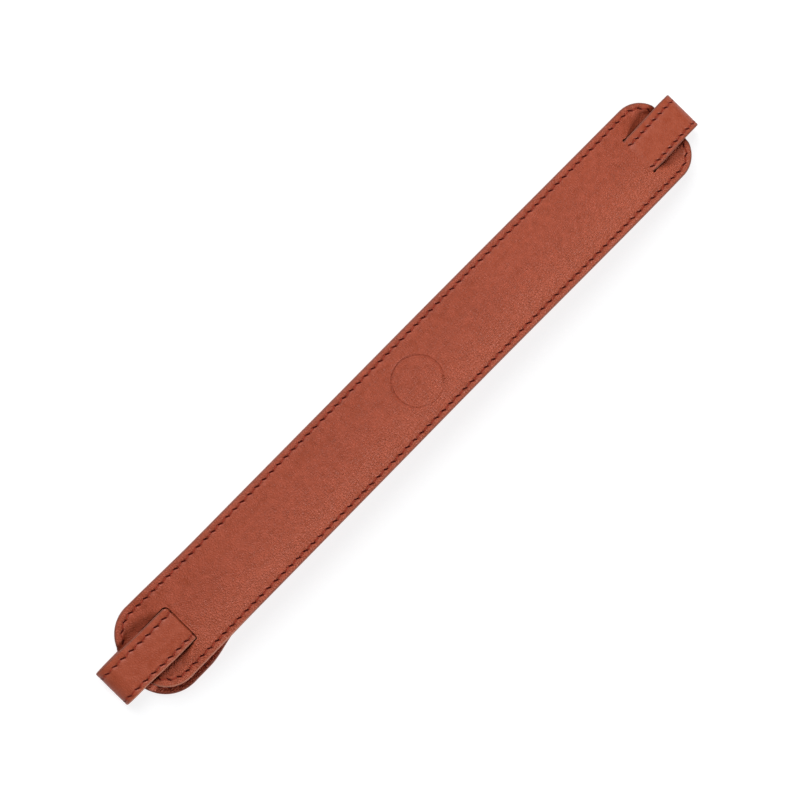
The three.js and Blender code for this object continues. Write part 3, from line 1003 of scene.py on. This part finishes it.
def makeStitches(name, holders):  # a thread at each (point, direction, way out)
    seed = bmesh.new()
    seed.loops.layers.uv.new("seam")
    bmesh.ops.create_uvsphere(seed, u_segments=8, v_segments=6, radius=1, calc_uvs=True)
    bmesh.ops.rotate(seed, verts=seed.verts, matrix=Matrix.Rotation(math.pi / 2, 3, "Y"))
    width = stitch["linkWidth"] / 2
    size = Vector((stitch["linkLength"] / 2, width, width * stitch["linkFlatness"]))
    bmesh.ops.scale(seed, verts=seed.verts, vec=size)
    thread = bpy.data.meshes.new("thread")
    seed.to_mesh(thread)
    seed.free()
    bm = bmesh.new()
    for point, along, out in holders:
        turned = along * math.cos(stitch["linkSlant"]) + along.cross(out) * math.sin(stitch["linkSlant"])
        spot = Matrix((turned, out.cross(turned).normalized(), out)).transposed().to_4x4()
        spot.translation = point + out * (stitch["linkRise"] - stitch["channelDepth"])
        before = len(bm.verts)
        bm.from_mesh(thread)
        bm.verts.ensure_lookup_table()
        bmesh.ops.transform(bm, matrix=spot, verts=bm.verts[before:])
    bpy.data.meshes.remove(thread)
    bmesh.ops.recalc_face_normals(bm, faces=bm.faces)
    piece = newObject(name, bm, [threadWax])
    shadeSmooth(piece, 180)
    return piece


bandPiece, bandHolders = makeBand()
print("band made")
frontPiece, frontHolders = makePad(frontPad)
print("front pad made")
backPiece, backHolders = makePad(backPad)
print("back pad made")
threads = [makeStitches(name + "_stitches", holders) for name, holders in (
    ("loop_band", bandHolders), ("front_pad", frontHolders), ("back_pad", backHolders))]
print("stitches made")

for piece, node, finish in (
    (bandPiece, "loop_band", "band_leather"),
    (frontPiece, "front_pad", "pad_leather"),
    (backPiece, "back_pad", "pad_leather"),
):
    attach(piece, "root")
    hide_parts(node)
for piece in threads:
    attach(piece, "root")

# The studio: a table of white acrylic lit from below, one light high on the +Y side, and a low one along
# each long side, as from white walls. All are a little towards the right end.
studio = {
    "floorSize": 16,
    "floorBelow": 0.02 * mm,
    "sky": 0.1,
    "tableGlow": 0.765,
    "lights": (
        {"name": "window", "aim": (0.28, 1, 1.75), "power": 12.2},
        {"name": "lowWindow", "aim": (0.12, 1, 0.27), "power": 17},
        {"name": "farWall", "aim": (0.12, -1, 0.27), "power": 23},
    ),
    "lightDistance": 1.4,
    "lightSize": 1,
    "target": Vector((-2.15 * mm, -0.6 * mm, 5 * mm)),
    "distance": 0.759,
    "elevation": math.radians(82.6),
    "roll": math.radians(44.52),
    "lens": 112.3,
}


# Opal acrylic with the lamp beneath it: an even matt white that keeps only a faint shadow of the strap.
def makeFloor():
    material, tree, shader = newMaterial("opalAcrylicTable")
    place = addNode(tree, "ShaderNodeTexCoord", {}).outputs["Object"]
    tooth = addNoise(tree, place, 2 * mm, detail=3).outputs["Fac"]
    addBump(tree, shader, tooth, distance=0.02 * mm, strength=0.3)
    shader.inputs["Base Color"].default_value = srgb("#9C9C9C")
    shader.inputs["Roughness"].default_value = 0.9
    shader.inputs["Specular IOR Level"].default_value = 0.1
    shader.inputs["Emission Color"].default_value = srgb("#FDFEFF")
    shader.inputs["Emission Strength"].default_value = studio["tableGlow"]
    bm = bmesh.new()
    bmesh.ops.create_grid(bm, x_segments=1, y_segments=1, size=studio["floorSize"] / 2)
    bmesh.ops.translate(bm, verts=bm.verts, vec=(0, 0, -studio["floorBelow"]))
    newObject("table", bm, [material])


def makeLights():
    world = bpy.data.worlds.new("studio")
    bpy.context.scene.world = world
    world.use_nodes = True
    sky = world.node_tree.nodes["Background"]
    sky.inputs["Color"].default_value = (1, 1, 1, 1)
    sky.inputs["Strength"].default_value = studio["sky"]
    for plan in studio["lights"]:
        data = bpy.data.lights.new(plan["name"], "AREA")
        data.shape = "DISK"
        data.size = studio["lightSize"]
        data.energy = plan["power"]
        lamp = bpy.data.objects.new(plan["name"], data)
        away = Vector(plan["aim"]).normalized()
        lamp.location = away * studio["lightDistance"]
        lamp.rotation_euler = away.to_track_quat("Z", "Y").to_euler()
        bpy.context.scene.collection.objects.link(lamp)


def makeCamera():
    data = bpy.data.cameras.new("camera")
    data.lens = studio["lens"]
    data.sensor_width = 36
    camera = bpy.data.objects.new("camera", data)
    rise, roll = studio["elevation"], studio["roll"]
    back = Vector((-math.cos(rise), 0, math.sin(rise)))
    plainUp = Vector((math.sin(rise), 0, math.cos(rise)))
    plainRight = Vector((0, -1, 0))
    right = plainRight * math.cos(roll) + plainUp * math.sin(roll)
    up = plainUp * math.cos(roll) - plainRight * math.sin(roll)
    spot = Matrix((right, up, back)).transposed().to_4x4()
    spot.translation = studio["target"] + back * studio["distance"]
    camera.matrix_world = spot
    bpy.context.scene.collection.objects.link(camera)
    bpy.context.scene.camera = camera


makeFloor()
makeLights()
makeCamera()
bpy.context.scene.view_settings.view_transform = "Standard"
print("studio ready")
